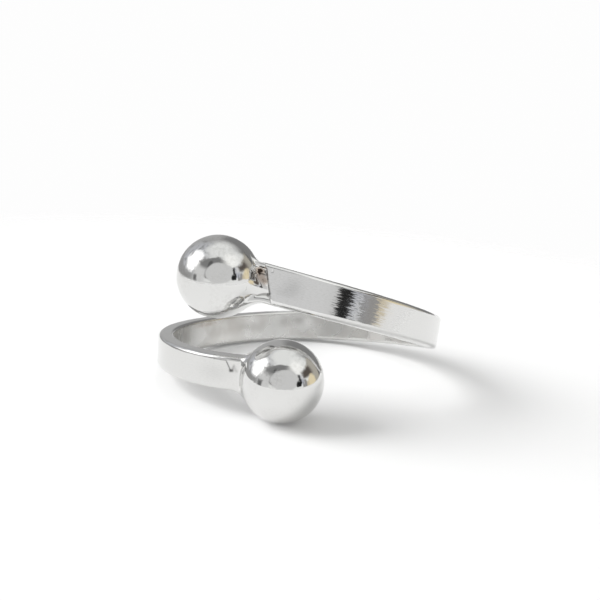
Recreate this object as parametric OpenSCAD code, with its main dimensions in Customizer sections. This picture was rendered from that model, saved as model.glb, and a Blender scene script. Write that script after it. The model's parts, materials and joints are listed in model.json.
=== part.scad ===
// Finger ring: one flat strip of silver wound a little over one turn, with a ball soldered on each end.
// It lies on its side, resting on the lower ball at the front and on the back of the band.
// Angles run round the ring from the front by way of the left, and pass 360 where the ends overlap.

/* [Band] */
// Outside diameter of the band
outer_d = 19.4; // [17:0.1:23]
// Thickness of the strip
strip_t = 1.1; // [0.8:0.05:1.3]
// Width of the strip at its lower end
width_low = 2.24; // [1.9:0.01:2.8]
// Width of the strip at its upper end
width_high = 2.44; // [1.9:0.01:2.8]
// Share by which the round is drawn out into an oval
oval = 0.08; // [0:0.01:0.09]
// Direction of the oval's long axis, in degrees from the front
oval_turn = 52; // [0:1:179]

/* [Climb] */
// Rise of the strip over half a turn, at an even slope
climb = 4.44; // [3.5:0.01:6]
// Upward bow of the strip, the same on both halves
bow = 2.43; // [0:0.01:3]
// How much the climb eases off towards the two ends
ease = 2.02; // [0:0.01:3]
// Outward lean of the strip's upper edge at the back, in degrees
lean_back = 4.2; // [0:0.1:8]
// Change of the lean from the back to the upper end, in degrees
lean_climb = -8; // [-10:0.1:8]
// Extra outward lean that both ends share, in degrees
lean_ends = -6.7; // [-8:0.1:8]

/* [Edges] */
// Corner radius between the outer face and the upper edge
outer_top_r = 0.27; // [0.05:0.01:0.35]
// Corner radius between the inner face and the upper edge
inner_top_r = 0.22; // [0.05:0.01:0.35]
// Corner radius between the inner face and the lower edge
inner_low_r = 0.26; // [0.05:0.01:0.35]
// Height of the worn rounding between the outer face and the lower edge
worn_h = 0.34; // [0.1:0.01:0.6]
// Depth of that rounding into the strip
worn_t = 0.34; // [0.1:0.01:0.45]

/* [Balls] */
// Diameter of each ball
ball_d = 5.3; // [4.6:0.05:6]
// Place of the lower ball round the ring, in degrees from the front
lower_ball_a = 9.2; // [0:0.1:15]
// Place of the upper ball round the ring, in degrees from the front
upper_ball_a = 400.2; // [388:0.1:404]
// How far a ball's centre stands outside the strip's middle line
ball_out = 0.28; // [0:0.01:0.8]
// How far a ball's centre hangs below the strip's middle line
ball_drop = 0.39; // [0:0.01:0.8]

/* [Solder] */
// Solder fillet round the strip at the lower ball
lower_solder = 0.25; // [0.1:0.05:0.5]
// Solder fillet along the strip's upper edge at the upper ball
upper_solder = 0.35; // [0.1:0.05:0.6]
// Solder fillet along the strip's lower edge at the upper ball, where it pooled
pooled_solder = 0.9; // [0.3:0.05:1]

/* [Resting] */
// Sideways tilt at which the ring comes to rest, in degrees
lie_side = 6; // [5:0.1:8]

/* [Hidden] */
$fn = 96;
back_a = 180;             // the back of the ring, where the climb is measured from
mean_r = (outer_d - strip_t) / 2;
ball_r = ball_d / 2;
line_step = 0.5;          // degrees to either side over which the strip's direction is taken
end_bite = 5;             // degrees between a ball's centre and the strip's end inside it
joint_a = 18;             // degrees of strip at each end that hold its solder fillet
joint_step = 1;           // degrees between sections there
band_step = 4;            // degrees between sections elsewhere
corner_steps = 3;         // steps round each corner of the section
face_steps = 5;           // steps across the outer and the inner face
edge_steps = 2;           // steps across the upper and the lower edge
fillet_sink = 0.12;       // share of a fillet's radius by which it ends inside the ball
halvings = 14;            // halvings in each search below
tilt_range = [-12, 4];    // forward tilts between which the resting one is searched, in degrees

// A ball's row: its place round the ring, and its solder at the strip's upper and lower edge.
LOWER = [lower_ball_a, lower_solder, lower_solder];
UPPER = [upper_ball_a, upper_solder, pooled_solder];
PLACE = 0;
FILLET_TOP = 1;
FILLET_LOW = 2;

// The strip's middle line in the ring's own plane, and its cross directions square to that line:
// out() is level, and lean() turns the strip about its line from there.
function turns(a) = (a - back_a) / back_a;
function line_h(a) = climb * turns(a) + bow * pow(turns(a), 2) - ease * pow(turns(a), 3);
function line_r(a) = mean_r * (1 + oval * cos(2 * (a - oval_turn)));
function lean(a) = lean_back + lean_climb * turns(a) + lean_ends * pow(turns(a), 2);
function width(a) = let(part = (a - LOWER[PLACE]) / (UPPER[PLACE] - LOWER[PLACE]))
    width_low + (width_high - width_low) * part;
function middle(a) = [-sin(a) * line_r(a), -cos(a) * line_r(a), line_h(a)];
function along(a) = let(step = middle(a + line_step) - middle(a - line_step)) step / norm(step);
function out(a) = let(d = along(a)) [-d.y, d.x, 0] / norm([d.x, d.y]);
function up(a) = cross(along(a), out(a));
function thick_dir(a) = out(a) * cos(lean(a)) - up(a) * sin(lean(a));
function wide_dir(a) = up(a) * cos(lean(a)) + out(a) * sin(lean(a));

function ball_centre(ball) = middle(ball[PLACE]) + out(ball[PLACE]) * ball_out - [0, 0, ball_drop];

// The section's outline as [outward, upward, normal outward, normal upward], corner by corner.
function corner(side, top, rt, rw, from, w) = [for (i = [0:corner_steps])
    let(b = from + 90 * i / corner_steps)
    [side * (strip_t / 2 - rt) + rt * cos(b), top * (w / 2 - rw) + rw * sin(b), cos(b), sin(b)]];
function between(p, q, steps) = [for (i = [1:steps - 1]) p + (q - p) * i / steps];
function section(w) = let(
    outer_top = corner(1, 1, outer_top_r, outer_top_r, 0, w),
    inner_top = corner(-1, 1, inner_top_r, inner_top_r, 90, w),
    inner_low = corner(-1, -1, inner_low_r, inner_low_r, 180, w),
    outer_low = corner(1, -1, worn_t, worn_h, 270, w),
    last = corner_steps)
    concat(
        outer_top, between(outer_top[last], inner_top[0], edge_steps),
        inner_top, between(inner_top[last], inner_low[0], face_steps),
        inner_low, between(inner_low[last], outer_low[0], edge_steps),
        outer_low, between(outer_low[last], outer_top[0], face_steps));

// Solder: a point of the strip moves out along its normal n until it lies on a round fillet of radius r
// between the strip and the ball. gap() is a point's distance from where the fillet ends, a little
// inside the ball, so that the two surfaces cross and don't just touch.
function gap(p, c, r) = norm(p - c) - ball_r + r * fillet_sink;
function past(p, n, c, r, m) = pow(max(0, r - max(0, gap(p + n * m, c, r))), 2) + pow(r - m, 2) > r * r;
function rise(p, n, c, r, low, high, k) = let(m = (low + high) / 2)
    k == 0 ? m
    : past(p, n, c, r, m) ? rise(p, n, c, r, m, high, k - 1)
    : rise(p, n, c, r, low, m, k - 1);
function soldered(p, n, c, r) = gap(p, c, r) > r ? p : p + n * rise(p, n, c, r, 0, r, halvings);

function ring_of_points(a) = let(
    ball = a < back_a ? LOWER : UPPER,
    c = ball_centre(ball),
    w = width(a))
    [for (s = section(w)) let(
        p = middle(a) + thick_dir(a) * s[0] + wide_dir(a) * s[1],
        n = thick_dir(a) * s[2] + wide_dir(a) * s[3],
        high_share = 0.5 + s[1] / w,
        r = ball[FILLET_LOW] + (ball[FILLET_TOP] - ball[FILLET_LOW]) * high_share)
        soldered(p, n, c, r)];

first_a = lower_ball_a + end_bite;
last_a = upper_ball_a - end_bite;
plain_a = last_a - first_a - 2 * joint_a;
plain_steps = ceil(plain_a / band_step);
stations = concat(
    [for (a = [first_a:joint_step:first_a + joint_a - joint_step / 2]) a],
    [for (i = [0:plain_steps]) first_a + joint_a + plain_a * i / plain_steps],
    [for (i = [joint_a / joint_step - 1:-1:0]) last_a - i * joint_step]);
rings = [for (a = stations) ring_of_points(a)];
strip_points = [for (r = rings) each r];
around = len(rings[0]);
strip_faces = concat(
    [[for (k = [0:around - 1]) k]],
    [for (i = [0:len(rings) - 2], k = [0:around - 1]) let(
        here = i * around,
        next = here + around,
        l = (k + 1) % around)
        each [[here + k, next + k, next + l], [here + k, next + l, here + l]]],
    [[for (k = [around - 1:-1:0]) (len(rings) - 1) * around + k]]);

// The ring as it lies: tilted forward by t about the left-right axis, then sideways by lie_side.
function laid(p, t) = let(
    y = p.y * cos(t) - p.z * sin(t),
    z = p.y * sin(t) + p.z * cos(t))
    [p.x * cos(lie_side) + z * sin(lie_side), y, z * cos(lie_side) - p.x * sin(lie_side)];
function band_foot(t) = min([for (p = strip_points) laid(p, t).z]);
function ball_foot(t) = laid(ball_centre(LOWER), t).z - ball_r;

// The forward tilt at which the lower ball and the band's back reach the surface together.
function settle(low, high, k) = let(m = (low + high) / 2)
    k == 0 ? m
    : band_foot(m) > ball_foot(m) ? settle(low, m, k - 1)
    : settle(m, high, k - 1);
lie_forward = settle(tilt_range[0], tilt_range[1], halvings);

laid_points = [for (p = strip_points) laid(p, lie_forward)];
laid_balls = [for (b = [LOWER, UPPER]) laid(ball_centre(b), lie_forward)];
function least(i) = min(concat([for (p = laid_points) p[i]], [for (c = laid_balls) c[i] - ball_r]));
function most(i) = max(concat([for (p = laid_points) p[i]], [for (c = laid_balls) c[i] + ball_r]));
foot = [(least(0) + most(0)) / 2, (least(1) + most(1)) / 2, least(2)];

module band() {
    polyhedron(points = [for (p = laid_points) p - foot], faces = strip_faces);
}

module balls() {
    for (c = laid_balls) translate(c - foot) sphere(r = ball_r);
}

module ring() {
    color("silver") union() {
        band();
        balls();
    }
}

ring();
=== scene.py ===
import bpy
import json
import numpy as np
from mathutils import Matrix, Vector


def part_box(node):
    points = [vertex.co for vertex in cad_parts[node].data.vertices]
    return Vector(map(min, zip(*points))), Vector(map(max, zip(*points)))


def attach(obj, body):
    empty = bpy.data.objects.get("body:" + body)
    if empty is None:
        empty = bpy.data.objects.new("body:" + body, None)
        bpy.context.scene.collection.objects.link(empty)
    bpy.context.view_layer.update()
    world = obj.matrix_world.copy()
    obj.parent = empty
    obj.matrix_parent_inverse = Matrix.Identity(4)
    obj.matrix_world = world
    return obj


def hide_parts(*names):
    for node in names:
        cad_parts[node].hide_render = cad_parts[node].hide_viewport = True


# A finger ring: a flat silver strip wound a little over one turn, a polished ball soldered on each end.
# Shapes are worked out in millimetres in the ring's own plane, laid down as the frame says, then made metres.
# Angles run round the ring in degrees: 0 front, 90 left, 180 back, 270 right, past 360 at the upper end.

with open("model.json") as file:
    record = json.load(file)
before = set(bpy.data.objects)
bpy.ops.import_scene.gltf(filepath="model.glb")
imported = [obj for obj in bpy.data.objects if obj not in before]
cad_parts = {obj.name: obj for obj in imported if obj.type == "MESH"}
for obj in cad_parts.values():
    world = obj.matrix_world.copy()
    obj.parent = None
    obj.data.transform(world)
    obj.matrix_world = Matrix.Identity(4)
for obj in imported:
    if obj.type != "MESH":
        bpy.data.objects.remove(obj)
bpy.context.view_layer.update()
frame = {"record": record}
mm = 0.001                                          # in metres
micron = mm / 1000

camera = {
    "lookAt": (0, 0, 4.5),                          # mm
    "azimuth": -3.389, "elevation": 15.302,         # degrees, where the camera stands round that point
    "distance": 66.488,                             # mm
    "yaw": -0.319, "pitch": -1.169, "roll": 4.484,  # degrees off the straight line to that point
    "lens": 56.2, "sensor": 36,                     # mm
    "nearest": 1, "farthest": 10000,                # mm between which it sees
}


def makeCamera():
    # stands at lookAt + distance along the azimuth and elevation, looks back,
    # then turns by yaw, pitch and roll
    azimuth, elevation = np.radians(camera["azimuth"]), np.radians(camera["elevation"])
    level = np.cos(elevation)
    back = np.array([np.sin(azimuth) * level, -np.cos(azimuth) * level, np.sin(elevation)])
    place = np.array(camera["lookAt"]) + back * camera["distance"]
    heading = np.radians(camera["yaw"]) - azimuth
    drop = elevation + np.radians(camera["pitch"])
    forward = np.array([np.sin(heading) * np.cos(drop), np.cos(heading) * np.cos(drop), -np.sin(drop)])
    right = np.array([np.cos(heading), -np.sin(heading), 0])
    up = np.cross(right, forward)
    roll = np.radians(camera["roll"])
    rolledRight = right * np.cos(roll) + up * np.sin(roll)
    rolledUp = up * np.cos(roll) - right * np.sin(roll)
    data = bpy.data.cameras.new("camera")
    data.lens = camera["lens"]
    data.sensor_width = camera["sensor"]
    data.clip_start = camera["nearest"] * mm
    data.clip_end = camera["farthest"] * mm
    shooter = bpy.data.objects.new("camera", data)
    bpy.context.scene.collection.objects.link(shooter)
    turn = Matrix((rolledRight, rolledUp, -forward)).transposed().to_4x4()
    shooter.matrix_world = Matrix.Translation(Vector(place * mm)) @ turn
    bpy.context.scene.camera = shooter


makeCamera()
print("camera placed")


class Wire:
    # a socket of a node tree; sums and products of wires add Math nodes
    def __init__(self, bench, socket):
        self.bench = bench
        self.socket = socket

    def __add__(self, other):
        return self.bench.math("ADD", self, other)

    def __sub__(self, other):
        return self.bench.math("SUBTRACT", self, other)

    def __rsub__(self, other):
        return self.bench.math("SUBTRACT", other, self)

    def __mul__(self, other):
        return self.bench.math("MULTIPLY", self, other)

    def __truediv__(self, other):
        return self.bench.math("DIVIDE", self, other)

    def __neg__(self):
        return self.bench.math("MULTIPLY", self, -1)

    __radd__ = __add__
    __rmul__ = __mul__


class Bench:
    # one node tree and the ways that nodes are put on it
    def __init__(self, tree):
        self.tree = tree
        tree.nodes.clear()

    def put(self, kind, settings=None, sockets=None, out=0):
        # settings go first; sockets by name or number, to values or wires; gives the output asked for
        node = self.tree.nodes.new(kind)
        for name, value in (settings or {}).items():
            setattr(node, name, value)
        for name, value in (sockets or {}).items():
            if isinstance(value, Wire):
                self.tree.links.new(value.socket, node.inputs[name])
            else:
                node.inputs[name].default_value = value
        return Wire(self, node.outputs[out]) if len(node.outputs) else node

    def math(self, operation, *values):
        return self.put("ShaderNodeMath", {"operation": operation}, dict(enumerate(values)))

    def clamp(self, value):
        return self.put("ShaderNodeClamp", None, {0: value})

    def step(self, value, low, high):
        # 0 below low, 1 above high, smooth between; low above high turns it round
        return self.put("ShaderNodeMapRange", {"interpolation_type": "SMOOTHSTEP"},
                        {"Value": value, "From Min": low, "From Max": high})

    def mixColour(self, share, first, second):
        return self.put("ShaderNodeMix", {"data_type": "RGBA"}, {0: share, 6: first, 7: second}, out=2)

    def noise(self, place, scale, detail=2, rough=0.5):
        return self.put("ShaderNodeTexNoise", None,
                        {"Vector": place, "Scale": scale, "Detail": detail, "Roughness": rough})

    def vector(self, x, y, z=0.0):
        return self.put("ShaderNodeCombineXYZ", None, {0: x, 1: y, 2: z})

    def parts(self, vector):
        split = self.put("ShaderNodeSeparateXYZ", None, {0: vector})
        return [Wire(self, socket) for socket in split.socket.node.outputs]

    def painted(self, name):
        # the four values that a piece carries under that name at each point
        layer = {"attribute_name": name}
        first = self.parts(self.put("ShaderNodeAttribute", layer, None, out="Vector"))
        return first + [self.put("ShaderNodeAttribute", layer, None, out="Alpha")]


def rgba(level, tint=(1, 1, 1)):
    return tuple(level * share for share in tint) + (1,)


def newMaterial(name):
    material = bpy.data.materials.new(name)
    material.use_nodes = True
    return material, Bench(material.node_tree)


# The studio round the ring, by direction: azimuth 0 is towards the camera and grows to the right, in degrees.
# Each card lies over those before it: middle, half size, softness of its rim, brightness and tint.
# "mirrored" is the lower brightness at which polished metal shows the card, "ragged" how uneven its rim is,
# and "mottle" breaks the card up into patches.
studio = {
    "dome": (0.95, (0.99, 1, 0.99)),                # overhead, plain
    "backdrop": 0.985,                              # what the camera sees behind the floor
    "cards": [
        # behind, left of it and right of it
        dict(at=(180, 20), half=(60, 36), soft=26, level=0.44),
        dict(at=(-158, 22), half=(26, 34), soft=22, level=0.46),
        dict(at=(150, 18), half=(28, 27), soft=14, level=0.25),
        # left: the main light on its grey ground, and what stands under it
        dict(at=(-100, 32), half=(46, 28), soft=24, level=0.60, tint=(0.97, 0.99, 1.05)),
        dict(at=(-112, 30), half=(44, 30), soft=24, level=0.30, mottle=True),
        dict(at=(-90, 31), half=(28, 21), soft=16, level=11, mirrored=1.7, ragged=1.0, round=True),
        dict(at=(-60, 30), half=(10, 26), soft=12, level=0.80),
        dict(at=(-60, 34), half=(14, 22), soft=14, level=0.34, mottle=True),
        dict(at=(-112, -2), half=(42, 9), soft=6, level=0.36, ragged=0.6),
        # front: a grey disc, a dark arc over its left shoulder, a soft light over its right
        dict(at=(-10, 33), half=(52, 32), soft=5, level=0.25, round=True),
        dict(at=(-29, 42), half=(8, 9), soft=8, level=0.13, round=True),
        dict(at=(-53, 8), half=(15, 21), soft=10, level=0.76),
        dict(at=(-64, 0), half=(5, 8), soft=5, level=0.17),
        dict(at=(54, 50), half=(30, 18), soft=26, level=1.18, tint=(1, 1, 0.98), round=True),
        dict(at=(4, 21), half=(41, 28), soft=4, level=0.73, round=True),
        dict(at=(-20, -7), half=(16, 1.2), soft=1.6, level=0.5),
        # right: a tan ground, a brown bar, a gold panel, and pale and dark strips
        dict(at=(106, 17), half=(21, 21), soft=6, level=0.50, tint=(1, 0.95, 0.84)),
        dict(at=(126, 16), half=(3, 20), soft=4, level=0.14),
        dict(at=(81, 26), half=(19, 8), soft=8, level=0.12, tint=(1, 0.86, 0.76)),
        dict(at=(88, 6), half=(14, 13), soft=8, level=0.92, tint=(1, 0.87, 0.60), ragged=1.0, round=True),
        dict(at=(73, 3), half=(6, 8), soft=4, level=0.72, tint=(1, 0.88, 0.66), ragged=1.0),
        dict(at=(64, 6), half=(6.5, 9), soft=3, level=0.36, tint=(1, 0.98, 0.96)),
        dict(at=(57, 18), half=(5.5, 12), soft=3, level=0.60, tint=(0.96, 0.98, 1.08)),
        dict(at=(58.5, 24), half=(4, 6), soft=4, level=0.78),
        dict(at=(58, 8), half=(0.8, 6), soft=1, level=0.22),
        dict(at=(47.5, 21), half=(3.5, 10), soft=3, level=0.06, ragged=1.6),
        dict(at=(46, 9), half=(7, 7), soft=3, level=0.02, ragged=1.6),
    ],
    # the noise behind ragged rims and patches, and how sharply patches end
    "uneven": {"scale": 7, "detail": 3, "rough": 0.6, "patchEdge": 0.12},
    # below it the paper goes on, plain; to the right of the front it climbs over the swing
    "horizon": {"left": -7, "right": -1, "swing": 60, "soft": 1, "level": 0.98},
}


def cardMask(bench, card, azimuth, elevation, uneven):
    # 1 on the card, 0 off it: the distance from its middle in half sizes, with a soft rim round 1
    wide = bench.math("WRAP", azimuth - card["at"][0], 180, -180) / card["half"][0]
    tall = (elevation - card["at"][1]) / card["half"][1]
    if card.get("round"):
        reach = bench.math("SQRT", wide * wide + tall * tall)
    else:
        reach = bench.math("MAXIMUM", bench.math("ABSOLUTE", wide), bench.math("ABSOLUTE", tall))
    if "ragged" in card:
        reach = reach + uneven * card["ragged"]
    rim = card["soft"] / min(card["half"])
    mask = bench.step(reach, 1 + rim / 2, 1 - rim / 2)
    if card.get("mottle"):
        mask = mask * bench.step(uneven, 0.0, studio["uneven"]["patchEdge"])
    return mask


def makeStudio():
    world = bpy.data.worlds.new("studio")
    world.use_nodes = True
    bench = Bench(world.node_tree)
    direction = bench.put("ShaderNodeTexCoord", None, None, out="Generated")
    x, y, z = bench.parts(direction)
    azimuth = bench.math("DEGREES", bench.math("ARCTAN2", x, -y))
    elevation = bench.math("DEGREES", bench.math("ARCSINE", z))
    mirrored = bench.put("ShaderNodeLightPath", None, None, out="Is Glossy Ray")
    grain = studio["uneven"]
    uneven = bench.noise(direction, grain["scale"], grain["detail"], grain["rough"]) - 0.5
    light = rgba(*studio["dome"])
    for card in studio["cards"]:
        tint = card.get("tint", (1, 1, 1))
        shade = rgba(card["level"], tint)
        if "mirrored" in card:
            shade = bench.mixColour(mirrored, shade, rgba(card["mirrored"], tint))
        light = bench.mixColour(cardMask(bench, card, azimuth, elevation, uneven), light, shade)
    horizon = studio["horizon"]
    climb = bench.step(azimuth, 0, horizon["swing"]) * (horizon["right"] - horizon["left"])
    above = elevation - (horizon["left"] + climb)
    below = bench.step(above, horizon["soft"], -horizon["soft"])
    light = bench.mixColour(below, light, rgba(horizon["level"]))
    seen = bench.put("ShaderNodeLightPath", None, None, out="Is Camera Ray")
    light = bench.mixColour(seen, light, rgba(studio["backdrop"]))
    glow = bench.put("ShaderNodeBackground", None, {"Color": light})
    bench.put("ShaderNodeOutputWorld", None, {"Surface": glow})
    bpy.context.scene.world = world
    bpy.context.scene.view_settings.view_transform = "Standard"


def ringQuads(rows, around):
    # quads between neighbouring rings of points, every ring closed on itself
    start = np.arange(rows - 1)[:, None] * around
    here = (start + np.arange(around)).ravel()
    beside = (start + (np.arange(around) + 1) % around).ravel()
    return np.stack([here, here + around, beside + around, beside], -1)


def fan(middle, rim):
    # triangles from one point to a closed ring of points
    return np.stack([middle + 0 * rim, rim, np.roll(rim, -1)], -1)


floor = {
    "radius": 80, "fade": (52, 72),                 # mm
    "white": 0.68, "glow": 0.11,                    # share of light given back, and light of its own
    "rings": 30, "around": 96,                      # points out from the middle and round it
}


def makeFloor():
    # a plain pale disc, rings of points round its middle, that fades out far from the ring
    turn = np.linspace(0, 2 * np.pi, floor["around"], endpoint=False)
    reach = np.linspace(0, floor["radius"], floor["rings"])[1:]
    rim = reach[:, None, None] * np.stack([np.cos(turn), np.sin(turn), 0 * turn], -1)
    points = np.concatenate([np.zeros((1, 3)), rim.reshape(-1, 3)]) * mm
    innermost = 1 + np.arange(floor["around"])
    quads = 1 + ringQuads(len(reach), floor["around"])
    mesh = bpy.data.meshes.new("floor")
    mesh.from_pydata(points.tolist(), [], fan(0, innermost).tolist() + quads.tolist())
    piece = bpy.data.objects.new("floor", mesh)
    bpy.context.scene.collection.objects.link(piece)
    material, bench = newMaterial("pale paper")
    place = bench.put("ShaderNodeTexCoord", None, None, out="Object")
    away = bench.put("ShaderNodeVectorMath", {"operation": "LENGTH"}, {0: place}, out="Value")
    near, far = floor["fade"]
    solid = bench.step(away, far * mm, near * mm)
    matt = bench.put("ShaderNodeBsdfDiffuse", None, {"Color": rgba(floor["white"])})
    glow = bench.put("ShaderNodeEmission", None, {"Color": rgba(1), "Strength": floor["glow"]})
    paper = bench.put("ShaderNodeAddShader", None, {0: matt, 1: glow})
    clear = bench.put("ShaderNodeBsdfTransparent")
    both = bench.put("ShaderNodeMixShader", None, {0: solid, 1: clear, 2: paper})
    bench.put("ShaderNodeOutputMaterial", None, {"Surface": both})
    mesh.materials.append(material)


makeStudio()
makeFloor()
print("studio lit")


band = {
    "outerD": 19.4, "thick": 1.1, "widthLow": 2.24, "widthHigh": 2.44,   # mm
    "oval": 0.08, "ovalTurn": 52,                   # share, and degrees from the front
    "climb": 4.44, "bow": 2.43, "ease": 2.02,       # mm
    "leanBack": 4.2, "leanClimb": -8, "leanEnds": -6.7,   # degrees
    "outerTopR": 0.27, "innerTopR": 0.22, "innerLowR": 0.26, "outerLowR": 0.34,   # mm, the section's corners
    "endBite": 5,                                   # degrees of strip inside each ball
    "lowEnd": 22, "lowStep": 0.14, "plainStep": 1.5,   # degrees of close stations at the lower end, and steps
    "highEnd": 26, "highStations": 230,             # degrees at the upper end, and stations in them
    "corner": 8, "face": 44, "edge": 20,            # steps of each corner, face and edge of the section
}
ball = {
    "radius": 2.65, "out": 0.28, "drop": 0.39,      # mm, its middle outside and below the strip's middle
    "lowerAngle": 9.2, "upperAngle": 400.2,         # degrees
    "rows": 170, "around": 340,                     # steps from pole to pole and round it
}
perDegree = np.radians(band["outerD"] / 2)          # mm along the band for one degree


def smooth(x, low, high):
    # 0 at low, 1 at high, an S curve between; low above high turns it round
    share = np.clip((x - low) / (high - low), 0, 1)
    return share * share * (3 - 2 * share)


def unit(vectors):
    return vectors / np.linalg.norm(vectors, axis=-1, keepdims=True)


def middleLine(angle):
    # the strip's middle: an oval round the ring that climbs by a cubic of the turn from the back
    turn = (angle - 180) / 180
    height = band["climb"] * turn + band["bow"] * turn ** 2 - band["ease"] * turn ** 3
    stretch = 1 + band["oval"] * np.cos(np.radians(2 * (angle - band["ovalTurn"])))
    radius = (band["outerD"] - band["thick"]) / 2 * stretch
    around = np.radians(angle)
    return np.stack([-np.sin(around) * radius, -np.cos(around) * radius, height], -1)


def stripDirections(angle):
    # level outwards from the strip, and its thick and wide directions turned by the lean
    along = unit(middleLine(angle + 0.5) - middleLine(angle - 0.5))
    out = unit(np.stack([-along[..., 1], along[..., 0], 0 * angle], -1))
    up = np.cross(along, out)
    turn = (angle - 180) / 180
    lean = np.radians(band["leanBack"] + band["leanClimb"] * turn + band["leanEnds"] * turn ** 2)[..., None]
    return out, out * np.cos(lean) - up * np.sin(lean), up * np.cos(lean) + out * np.sin(lean)


def cornerPoints(side, top, radius, start, width):
    # a quarter round of the strip's section: outwards, upwards, and the normal in the same two directions
    turn = np.radians(start + 90 * np.arange(band["corner"] + 1) / band["corner"])
    return np.stack([side * (band["thick"] / 2 - radius) + radius * np.cos(turn),
                     top * (width / 2 - radius) + radius * np.sin(turn), np.cos(turn), np.sin(turn)], -1)


def sectionPoints(width):
    # the outline of the strip's section, four rounded corners with edges and faces between
    corners = [cornerPoints(1, 1, band["outerTopR"], 0, width),
               cornerPoints(-1, 1, band["innerTopR"], 90, width),
               cornerPoints(-1, -1, band["innerLowR"], 180, width),
               cornerPoints(1, -1, band["outerLowR"], 270, width)]
    counts = (band["edge"], band["face"], band["edge"], band["face"])
    rows = []
    for corner, following, count in zip(corners, corners[1:] + corners[:1], counts):
        share = np.arange(1, count)[:, None] / count
        rows += [corner, corner[-1] * (1 - share) + following[0] * share]
    return np.concatenate(rows)


def faceShares(sections):
    # how far each point faces outwards, upwards, inwards and downwards: squares that add up to 1
    out, up = sections[..., 2], sections[..., 3]
    return [np.clip(way, 0, 1) ** 2 for way in (out, up, -out, -up)]


def bandStations():
    # the angles at which the section stands, closer together near the two joints
    first, last = ball["lowerAngle"] + band["endBite"], ball["upperAngle"] - band["endBite"]
    low, high = first + band["lowEnd"], last - band["highEnd"]
    return np.concatenate([np.arange(first, low, band["lowStep"]), np.arange(low, high, band["plainStep"]),
                           np.linspace(high, last, band["highStations"])])


solder = {
    # fillet radius on the outer face, the upper edge, the inner face and the lower edge, mm
    "lower": (0.28, 0.45, 0.5, 0.8),
    "upper": (0.26, 0.5, 0.8, 0.9),
    # wider low on the upper joint's outer face: mm more, and between which heights above the middle it grows
    "pooled": (0.64, 0.25, -0.45),
    # share of its radius by which a fillet sinks at the ball's skin and inside it, and the distances
    # along the band from the ball's middle between which that changes, mm
    "tuck": (0.003, 0.12, 1.6, 0.8),
    "halvings": 24,                                 # of the search for a fillet's height
    "polishedAt": 0.05,                             # mm of solder from which it is polished
}


def ballCentre(angle):
    angle = np.array([float(angle)])
    out = stripDirections(angle)[0]
    return (middleLine(angle) + out * ball["out"])[0] - (0, 0, ball["drop"])


def filletRise(points, normals, centre, fillet, away):
    # how far each point moves along its normal to lie on a round fillet between the strip and a ball: the
    # fillet less the gap to the ball, squared, and the fillet less the move, squared, make the fillet squared
    skin, inside, far, near = solder["tuck"]
    sink = fillet * (skin + (inside - skin) * smooth(away, far, near))

    def gapAfter(move):
        return np.linalg.norm(points + normals * move[..., None] - centre, axis=-1) - ball["radius"] + sink

    low = 0 * fillet
    high = fillet
    for _ in range(solder["halvings"]):
        move = (low + high) / 2
        gap = np.maximum(gapAfter(move), 0)
        more = np.maximum(fillet - gap, 0) ** 2 + (fillet - move) ** 2 > fillet ** 2
        low = np.where(more, move, low)
        high = np.where(more, high, move)
    return np.where(gapAfter(0 * fillet) > fillet, 0, (low + high) / 2)


def solderRise(points, normals, stations, high, shares):
    # the rise at each point's nearer ball, its fillet radius mixed by the way that the point faces
    rises = []
    for end in ("lower", "upper"):
        fillet = sum(share * radius for share, radius in zip(shares, solder[end]))
        if end == "upper":
            more, above, below = solder["pooled"]
            fillet = fillet + more * shares[0] * smooth(high, above, below)
        angle = ball[end + "Angle"]
        away = np.abs(stations - angle)[:, None] * perDegree
        rises.append(filletRise(points, normals, ballCentre(angle), fillet, away))
    return np.where((stations < 180)[:, None], *rises)


upperEnd = {
    # the strip's end under the upper ball stops square and rounded, and solder slopes up from its foot
    "cut": 380.6, "slant": 2.87,                    # degrees at the middle, and more at the upper edge
    "endRound": 0.20, "foot": 0.30, "footRun": 0.04,   # mm: radius of its edge, depth and run of its foot
    "slope": 0.2,                                   # mm by which the solder rises for each mm
    "hollowTop": (0.98, 0.80), "hollowLow": (-1.30, -1.08),   # mm above the middle, where the hollow sets in
    # the solder is also a rounded roof: its slope, its ridge above the middle and the ridge's radius, mm
    "arch": 0.44, "archAt": 0.36, "archSoft": 0.22,
    "cornerShare": 0.35,                            # outward share from which the lower corner is cut in full
    "shoulder": 0.08, "shoulderRun": 0.6,           # mm by which the neck is lower than the strip on top
    "neckEdge": (-0.01, 0.03), "stainEdge": (-0.02, 0.02),   # mm past the cut where polish and stain begin
    # stain left in the hollow: mm past the cut, mm above the middle, radii in mm, strength
    "stains": ((0.40, 0.26, 0.42, 0.46, 0.40), (0.40, 0.68, 0.20, 0.12, 0.9), (0.52, 0.54, 0.11, 0.18, 0.85),
               (0.25, 0.12, 0.15, 0.12, 0.45)),
}


def endDepth(high, past, shares):
    # the end's edge is a quarter round down to its foot; then the solder rises by its slope,
    # arched over its ridge, and the upper edge steps down a little
    edge = upperEnd["endRound"]
    turn = edge - np.sqrt(edge ** 2 - np.clip(past + edge, 0, edge) ** 2)
    neck = smooth(past, 0, upperEnd["footRun"])
    foot = (upperEnd["foot"] - edge) * neck
    hollowed = smooth(high, *upperEnd["hollowTop"]) * smooth(high, *upperEnd["hollowLow"])
    soft = upperEnd["archSoft"]
    arch = upperEnd["arch"] * (np.hypot(high - upperEnd["archAt"], soft) - soft) * neck
    depth = (turn + foot - upperEnd["slope"] * np.maximum(past, 0)) * hollowed + arch
    outward, upward = shares[0], shares[1]
    depth = depth * np.where(high < 0, smooth(outward, 0, upperEnd["cornerShare"]), outward)
    return depth + upperEnd["shoulder"] * smooth(past, 0, upperEnd["shoulderRun"]) * upward


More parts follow.
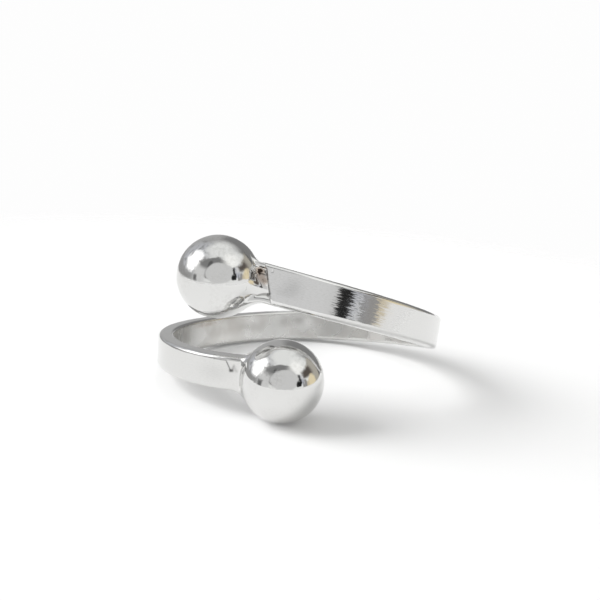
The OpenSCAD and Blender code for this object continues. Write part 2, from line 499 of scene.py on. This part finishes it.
nick = {
    # a three-cornered nick in the outer face at the lower joint: corners in degrees and mm above the middle
    "corners": ((29.75, 0.84), (26.4, 0.87), (27.9, 0.19)), "depth": 0.09, "lip": 0.05,
    "shallow": 0.4, "deepens": (0.9, 0.2),          # share of its depth at the top, and where it deepens, mm
}
pit = {"at": (380.2, 0.80), "radius": 0.07, "depth": 0.05}   # degrees, mm


def sideOfLine(x, y, first, second):
    # distance of points from the line through two corners, positive on its left
    dx, dy = second[0] - first[0], second[1] - first[1]
    return (dx * (y - first[1]) - dy * (x - first[0])) / np.hypot(dx, dy)


def dentDepth(stations, high):
    # the nick is flat inside all three sides and has soft lips; the pit is a bell
    x = stations[:, None] * perDegree
    corners = [(angle * perDegree, level) for angle, level in nick["corners"]]
    inside = np.min([-sideOfLine(x, high, p, q) for p, q in zip(corners, corners[1:] + corners[:1])], 0)
    deep = nick["shallow"] + (1 - nick["shallow"]) * smooth(high, *nick["deepens"])
    away = np.hypot((stations[:, None] - pit["at"][0]) * perDegree, high - pit["at"][1])
    return (nick["depth"] * smooth(inside, 0, nick["lip"]) * deep
            + pit["depth"] * np.exp(-(away / pit["radius"]) ** 2))


wear = {"seed": 5, "wave": 0.006, "waveRun": 1.1, "knock": 0.008, "knockRun": 0.3}   # mm, but for the seed


def wander(run, stride, random):
    # a line that wanders between -1 and 1, with a new value each stride along the band
    knots = np.arange(run[0], run[-1] + 2 * stride, stride)
    return np.interp(run, knots, random.uniform(-1, 1, len(knots)))[:, None]


def wearDepth(run, shares):
    # each face waves by a wandering line of its own, and the corners, which face no one way, are knocked
    random = np.random.default_rng(wear["seed"])
    waves = sum(share * wander(run, wear["waveRun"], random) for share in shares)
    corner = 1 - np.max(shares, 0)
    knocks = sum(corner * share * (1 + wander(run, wear["knockRun"], random)) for share in shares)
    return wear["wave"] * (1 + waves) + wear["knock"] * knocks


marks = {
    # painted shade and a painted dark reflection, drawn as dark lines on the outer face: from degrees and mm
    # above the middle, to the same, half width in mm, strength
    "lines": (
        # painted shade in the crease at the upper strip's end
        (382.1, 0.68, 381.0, 0.22, 0.050, 0.85), (381.0, 0.22, 380.2, -0.15, 0.035, 0.6),
        (380.2, -0.15, 378.9, -0.60, 0.060, 0.85), (378.9, -0.60, 378.4, -0.85, 0.040, 0.5),
        # painted shade on the nick's deep side and foot, and a painted dark reflection along the rough edge
        # beyond it
        (29.6, 0.80, 28.3, 0.32, 0.050, 0.7), (28.2, 0.24, 27.5, 0.26, 0.095, 0.9),
        (27.4, 0.34, 26.8, 0.60, 0.070, 0.35), (26.6, 0.45, 26.0, 0.25, 0.100, 0.25),
        (29.7, 0.87, 34.5, 0.88, 0.030, 0.7), (34.5, 0.88, 47.0, 0.89, 0.022, 0.35),
        (47.0, 0.89, 57.0, 0.92, 0.035, 0.6),
    ),
    # ovals: degrees, mm above the middle, half length in degrees, half height in mm, strength
    "scuffs": ((371.5, 0.10, 3.2, 0.55, 0.16), (374.5, -0.30, 3.0, 0.30, 0.08), (34, 0.0, 6, 0.6, 0.10)),
    # and inside the band
    # the widest smudge, at the band's left turn, is painted shade
    "smudgesAndShade": ((174, 0.35, 3.0, 0.45, 0.5), (182, 0.45, 3.4, 0.30, 0.55), (184, -0.65, 2.4, 0.25, 0.3),
                (151, 0.20, 6.0, 0.35, 0.25), (97, 0.20, 16, 0.7, 0.5)),
    "rubbed": ((187.5, 0.30, 2.6, 0.35, 0.6), (154, 0.65, 7.0, 0.30, 0.4), (135, -0.70, 26, 0.45, 0.6)),
    "film": ((122, 0.75, 12, 0.22, 0.22),),
    "brightFrom": (352, 362),                       # degrees past which the outer face is buffed brighter
}


def ovals(x, high, table):
    # soft-edged ovals over the strip, laid over each other
    return 1 - np.prod([1 - strength * np.exp(-((x - at) / long) ** 2 - ((high - level) / tall) ** 2)
                        for at, level, long, tall, strength in table], 0)


def paintedShadeLines(stations, high):
    # painted shade and a painted dark reflection: soft lines from point to point, by the distance from the
    # nearest place on each
    rest = 1
    for angle, level, toAngle, toLevel, wide, strength in marks["lines"]:
        x, y = (stations - angle) * perDegree, high - level
        dx, dy = (toAngle - angle) * perDegree, toLevel - level
        share = np.clip((x * dx + y * dy) / (dx * dx + dy * dy), 0, 1)
        away = np.hypot(x - share * dx, y - share * dy)
        rest = rest * (1 - strength * np.exp(-(away / wide) ** 2))
    return 1 - rest


def paintedShares(stations, high, past, rise, shares):
    # the four values of each point under each of the two names by which the brushed silver reads them
    stations = stations[:, None] + 0 * high
    outward, inward = shares[0], shares[2]
    neck = smooth(past, *upperEnd["neckEdge"])
    polish = np.maximum(neck, smooth(rise, 0, solder["polishedAt"]))
    stain = ovals(past, high, upperEnd["stains"]) * smooth(past, *upperEnd["stainEdge"]) * outward
    film = ovals(stations, high, marks["film"]) * inward
    scuffed = ovals(stations, high, marks["scuffs"])
    # the lines are painted shade in the crease and the nick and a painted dark reflection along an edge, laid
    # with the real scuffs
    scratchedAndShaded = (1 - (1 - paintedShadeLines(stations, high)) * (1 - scuffed)) * outward
    smudgedAndShaded = ovals(stations, high, marks["smudgesAndShade"]) * inward
    rubbed = ovals(stations, high, marks["rubbed"]) * inward
    buffed = smooth(stations, *marks["brightFrom"]) * outward * (1 - neck)
    return {"finish": np.stack([outward, inward, polish, stain + film], -1).reshape(-1, 4),
            "marks": np.stack([scratchedAndShaded, smudgedAndShaded, rubbed, buffed], -1).reshape(-1, 4)}


def bandMap(run, sections, width):
    # run along the band and girth round the section for each face's corners, then for the caps' points;
    # the girth is set so that on the outer face it is the height above the middle in mm
    closed = np.concatenate([sections, sections[:, :1]], 1)
    girth = np.linalg.norm(np.diff(closed[..., :2], axis=1), axis=-1).cumsum(1)
    girth = np.concatenate([0 * run[:, None], girth], 1)
    faceTop = width / 2 - band["outerTopR"]
    girth = girth - girth[:, -1:] + faceTop[:, None]
    grid = np.stack([np.broadcast_to(run[:, None], girth.shape), girth], -1)
    quads = np.stack([grid[:-1, :-1], grid[1:, :-1], grid[1:, 1:], grid[:-1, 1:]], 2)
    return np.concatenate([quads.reshape(-1, 2), grid[0, :-1], grid[-1, :-1][::-1]])


def bandSurface():
    # the section carried along the middle line, worn down, then raised by the solder
    stations = bandStations()
    middles = middleLine(stations)
    run = np.concatenate([[0], np.cumsum(np.linalg.norm(np.diff(middles, axis=0), axis=-1))])
    share = (stations - ball["lowerAngle"]) / (ball["upperAngle"] - ball["lowerAngle"])
    width = band["widthLow"] + (band["widthHigh"] - band["widthLow"]) * share
    sections = np.stack([sectionPoints(wide) for wide in width])
    thick, wide = [way[:, None] for way in stripDirections(stations)[1:]]
    points = middles[:, None] + thick * sections[..., 0:1] + wide * sections[..., 1:2]
    normals = thick * sections[..., 2:3] + wide * sections[..., 3:4]
    shares = faceShares(sections)
    high = sections[..., 1]
    cut = upperEnd["cut"] + upperEnd["slant"] * high / (band["widthHigh"] / 2)
    past = (stations[:, None] - cut) * perDegree
    depth = endDepth(high, past, shares) + dentDepth(stations, high) * shares[0] + wearDepth(run, shares)
    points = points - normals * depth[..., None]
    rise = solderRise(points, normals, stations, high, shares)
    points = points + normals * rise[..., None]
    return points, bandMap(run, sections, width), paintedShares(stations, high, past, rise, shares)


def bandFaces(rows, around):
    # quads of a closed tube, and a flat cap on either end
    first = np.arange(around)
    last = first + (rows - 1) * around
    return ringQuads(rows, around).tolist() + [first.tolist(), last[::-1].tolist()]


def ballSurface(centre):
    # points of a sphere by latitude and longitude, then one point at either pole
    latitude = np.linspace(0, np.pi, ball["rows"] + 1)[1:-1, None]
    longitude = np.linspace(0, 2 * np.pi, ball["around"], endpoint=False)
    rim = np.stack([np.sin(latitude) * np.cos(longitude), np.sin(latitude) * np.sin(longitude),
                    np.cos(latitude) + 0 * longitude], -1).reshape(-1, 3)
    return centre + np.concatenate([rim, [[0, 0, 1], [0, 0, -1]]]) * ball["radius"]


def ballFaces():
    rings = ball["rows"] - 1
    topPole = rings * ball["around"]
    firstRing = np.arange(ball["around"])
    lastRing = firstRing + topPole - ball["around"]
    return (ringQuads(rings, ball["around"]).tolist() + fan(topPole, firstRing).tolist()
            + fan(topPole + 1, lastRing)[:, ::-1].tolist())


silver = {
    # brightness and tint
    "bright": (0.74, (1, 0.998, 0.985)), "dull": (0.66, (1, 0.995, 0.975)), "buffed": (0.80, (1, 1, 0.995)),
    # the darkest colour here serves scratches and the painted shade and painted dark reflection of the lines
    # on the outer face
    "scratchAndShade": (0.05, (1, 0.97, 0.93)), "film": (0.42, (1, 0.82, 0.68)), "stain": (0.03, (1, 0.7, 0.55)),
    # and inside the band, where the smudge colour also serves the painted shade at the band's left turn
    "worn": (0.58, (1, 0.98, 0.95)), "smudgeAndShade": (0.36, (1, 0.98, 0.93)), "rubbed": (0.82, (1, 1, 0.99)),
    "polished": 0.05,                               # roughness
}


def finishSilver(bench, colour, roughness, height, **under):
    # a metal with that colour and roughness, and bumps of a height in thousandths of a mm;
    # under may name the normal that the bumps lie on
    bump = bench.put("ShaderNodeBump", None, {"Strength": 1.0, "Distance": micron, "Height": height, **under})
    metal = bench.put("ShaderNodeBsdfPrincipled", None,
                      {"Base Color": colour, "Metallic": 1.0, "Roughness": roughness, "Normal": bump})
    bench.put("ShaderNodeOutputMaterial", None, {"Surface": metal})


brushed = {
    # noise cells for each mm along and across the band, detail, roughness of the noise
    "streaks": (1.5, 15, 3, 0.6), "lines": (0.3, 26, 2, 0.5), "satin": (5, 22, 3, 0.6),
    "blotches": 600, "stainGrain": 7000,            # noise cells for each metre
    # values between which each takes effect, and its share then where that isn't the whole
    "clouded": (0.38, 0.66), "greyLines": (0.3, 0.7, 0.15), "greySatin": (0.45, 0.7, 0.45),
    "filmed": (0.02, 0.4, 0.85), "stained": (0.45, 0.75),
    # how much of a scratch or painted shade, or of a stain, shows anyway, and how much more by its noise
    "scratchShadePlain": 0.3, "scratchShadeSatin": 1.4, "stainPlain": 0.55, "stainGrained": 0.9,
    # roughness of the outer face, the inner face and the edges, and what lines and clouds add to it
    "outside": 0.06, "inside": 0.25, "edges": 0.10, "lined": 0.06, "cloudy": 0.10,
    "streakTilt": 0.09, "lineTilt": 0.03,           # how far brush marks turn the surface, in radians
    "lineHeight": 0.5, "blotchHeight": 2.0,         # thousandths of a mm
}


def bandSilver():
    # brushed along the band, polished on its solder, duller and blotched inside
    material, bench = newMaterial("brushed silver")
    place = bench.put("ShaderNodeTexCoord", None, None, out="Object")
    along, across, _ = bench.parts(bench.put("ShaderNodeUVMap", {"uv_map": "strip"}))
    outward, inward, polish, stain = bench.painted("finish")
    scratchedAndShaded, smudgedAndShaded, rubbed, buffed = bench.painted("marks")
    plain = 1 - polish

    def brushMarks(name):
        cells, cellsAcross, detail, rough = brushed[name]
        return bench.noise(bench.vector(along * cells, across * cellsAcross), 1, detail, rough)

    def effect(value, name):
        low, high, share = brushed[name]
        return bench.step(value, low, high) * share

    streaks, lines, satin = brushMarks("streaks"), brushMarks("lines"), brushMarks("satin")
    blotches = bench.noise(place, brushed["blotches"])
    cloudy = bench.step(blotches, *brushed["clouded"])
    inner = bench.mixColour(cloudy, rgba(*silver["dull"]), rgba(*silver["worn"]))
    # darker smudges, the one at the band's left turn painted shade
    inner = bench.mixColour(smudgedAndShaded, inner, rgba(*silver["smudgeAndShade"]))
    inner = bench.mixColour(rubbed, inner, rgba(*silver["rubbed"]))
    grey = (effect(lines, "greyLines") + effect(satin, "greySatin")) * plain
    outer = bench.mixColour(buffed, rgba(*silver["bright"]), rgba(*silver["buffed"]))
    outer = bench.mixColour(grey, outer, rgba(*silver["dull"]))
    # painted shade and a painted dark reflection darken the outer face along the lines, together with the
    # scratches
    scratchAndShade = bench.clamp(scratchedAndShaded * (brushed["scratchShadePlain"] + brushed["scratchShadeSatin"] * satin))
    outer = bench.mixColour(scratchAndShade, outer, rgba(*silver["scratchAndShade"]))
    colour = bench.mixColour(inward, outer, inner)
    stainGrain = bench.noise(place, brushed["stainGrain"])
    stain = stain * (brushed["stainPlain"] + brushed["stainGrained"] * stainGrain)
    colour = bench.mixColour(effect(stain, "filmed"), colour, rgba(*silver["film"]))
    colour = bench.mixColour(bench.step(stain, *brushed["stained"]), colour, rgba(*silver["stain"]))
    roughness = outward * (brushed["outside"] + brushed["lined"] * lines)
    roughness = roughness + inward * (brushed["inside"] + brushed["cloudy"] * cloudy)
    roughness = roughness + (1 - outward - inward) * brushed["edges"]
    roughness = bench.clamp(roughness * plain + polish * silver["polished"])
    # the brush marks turn the surface along and across the band, 0.5 being no turn
    marked = outward * plain
    tilt = bench.vector(0.5 + (streaks - 0.5) * marked * brushed["streakTilt"],
                        0.5 + (lines - 0.5) * marked * brushed["lineTilt"], 1.0)
    turned = bench.put("ShaderNodeNormalMap", {"uv_map": "strip"}, {"Color": tilt})
    height = lines * marked * brushed["lineHeight"] + blotches * inward * plain * brushed["blotchHeight"]
    finishSilver(bench, colour, roughness, height, Normal=turned)
    return material


mirror = {
    # noise cells for each metre, and detail and roughness of the noise where they aren't the usual ones
    "swell": (900, 1), "ripples": 1700, "scuffs": (5200, 3, 0.65), "patches": 430,
    "patched": (0.42, 0.62), "scuffed": (0.4, 0.7),   # values of a noise between which it takes effect
    "dulled": 0.8,                                  # how far scuffs dull the colour
    "patchRough": 0.03, "scuffRough": 0.06,         # roughness that they add
    "swellHeight": 10.0, "rippleHeight": 12.0, "scuffHeight": 3.5,   # thousandths of a mm
}


def ballSilver():
    # mirror polished, a little uneven, with patches of ripples and fine scuffs
    material, bench = newMaterial("polished silver")
    place = bench.put("ShaderNodeTexCoord", None, None, out="Object")
    swell = bench.noise(place, *mirror["swell"])
    ripples = bench.noise(place, mirror["ripples"])
    scuffs = bench.noise(place, *mirror["scuffs"])
    patches = bench.step(bench.noise(place, mirror["patches"]), *mirror["patched"])
    dull = patches * bench.step(scuffs, *mirror["scuffed"]) * mirror["dulled"]
    colour = bench.mixColour(dull, rgba(*silver["bright"]), rgba(*silver["dull"]))
    roughness = silver["polished"] + patches * (mirror["patchRough"] + mirror["scuffRough"] * scuffs)
    height = (swell * mirror["swellHeight"] + ripples * patches * mirror["rippleHeight"]
              + scuffs * patches * mirror["scuffHeight"])
    finishSilver(bench, colour, roughness, height)
    return material


hair = 0.0002                                       # share by which the ring stays inside the CAD's box


def layDown(points):
    # turned as the ring lies: the frame's own axis of the finger hole says how far it tips
    ax, ay, az = frame["record"]["mounts"][0]["axis"]
    forward = -np.arcsin(ay)
    side = np.arctan2(ax, az)
    tip = np.array([[1, 0, 0], [0, np.cos(forward), -np.sin(forward)], [0, np.sin(forward), np.cos(forward)]])
    roll = np.array([[np.cos(side), 0, np.sin(side)], [0, 1, 0], [-np.sin(side), 0, np.cos(side)]])
    return points @ (roll @ tip).T


def setOnFrame(shapes):
    # laid down and set on the middle of the CAD's own box, a hair smaller than it
    shapes = [layDown(points) for points in shapes]
    low = np.min([points.min(0) for points in shapes], 0)
    high = np.max([points.max(0) for points in shapes], 0)
    cadLow, cadHigh = [np.array(corner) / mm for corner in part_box("ring")]
    size = np.min((cadHigh - cadLow) / (high - low)) - hair
    return [(points - (low + high) / 2) * size + (cadLow + cadHigh) / 2 for points in shapes]


def newPiece(name, points, faces, material, cornerMap=None, shares=None):
    # a smooth mesh in metres that rides with the ring; cornerMap is the UV "strip" of each face corner in mm,
    # shares hold four values of each point that the silver reads, under the name that it reads them by
    mesh = bpy.data.meshes.new(name)
    mesh.from_pydata((points * mm).tolist(), [], faces)
    if cornerMap is not None:
        mesh.uv_layers.new(name="strip").data.foreach_set("uv", cornerMap.astype(np.float32).ravel())
    for layerName, values in (shares or {}).items():
        layer = mesh.attributes.new(layerName, "FLOAT_COLOR", "POINT")
        layer.data.foreach_set("color", values.astype(np.float32).ravel())
    mesh.polygons.foreach_set("use_smooth", np.ones(len(mesh.polygons), bool))
    mesh.materials.append(material)
    piece = bpy.data.objects.new(name, mesh)
    bpy.context.scene.collection.objects.link(piece)
    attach(piece, "root")
    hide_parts("ring")


def makeRing():
    points, cornerMap, shares = bandSurface()
    balls = [ballSurface(ballCentre(ball[end + "Angle"])) for end in ("lower", "upper")]
    strip, lowerBall, upperBall = setOnFrame([points.reshape(-1, 3)] + balls)
    polished = ballSilver()
    newPiece("band", strip, bandFaces(*points.shape[:2]), bandSilver(), cornerMap, shares)
    newPiece("lower_ball", lowerBall, ballFaces(), polished)
    newPiece("upper_ball", upperBall, ballFaces(), polished)


makeRing()
print("ring made")
